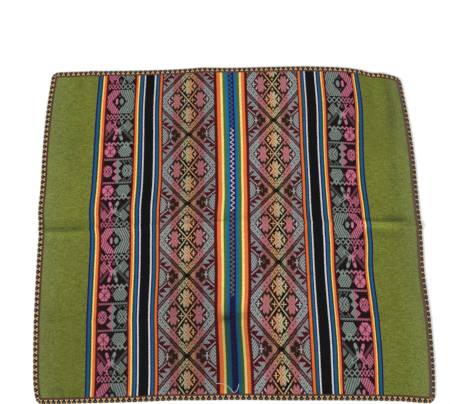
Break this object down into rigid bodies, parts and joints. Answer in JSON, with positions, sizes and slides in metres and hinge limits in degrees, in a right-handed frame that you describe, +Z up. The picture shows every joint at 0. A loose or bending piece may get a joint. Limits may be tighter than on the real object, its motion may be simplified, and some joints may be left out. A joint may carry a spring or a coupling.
{
  "type": "woven carrying cloth",
  "caption": "Square warp-striped carrying cloth of two woven panels sewn side by side, bound all round, lying open with the creases of its folds.",
  "frame": {"origin": "on the surface that the cloth lies on, under the middle of its outline", "axes": "+Z up, off the surface; +Y along the warp and the stripes, to the far end; +X across the stripes, to the right"},
  "size_m": [0.9903, 0.8692, 0.0104],
  "materials": {
    "left_weave": "handspun wool in a warp-faced weave: an olive green field, stripes and two patterned bands",
    "right_weave": "handspun wool in a warp-faced weave: an olive green field, stripes and two patterned bands",
    "binding_yarn": "tubular woven wool edging with a row of dark eyes between ochre crossings"
  },
  "bodies": {
    "root": {"panel_left": "left_weave", "panel_right": "right_weave", "edge_binding": "binding_yarn"}
  },
  "joints": []
}
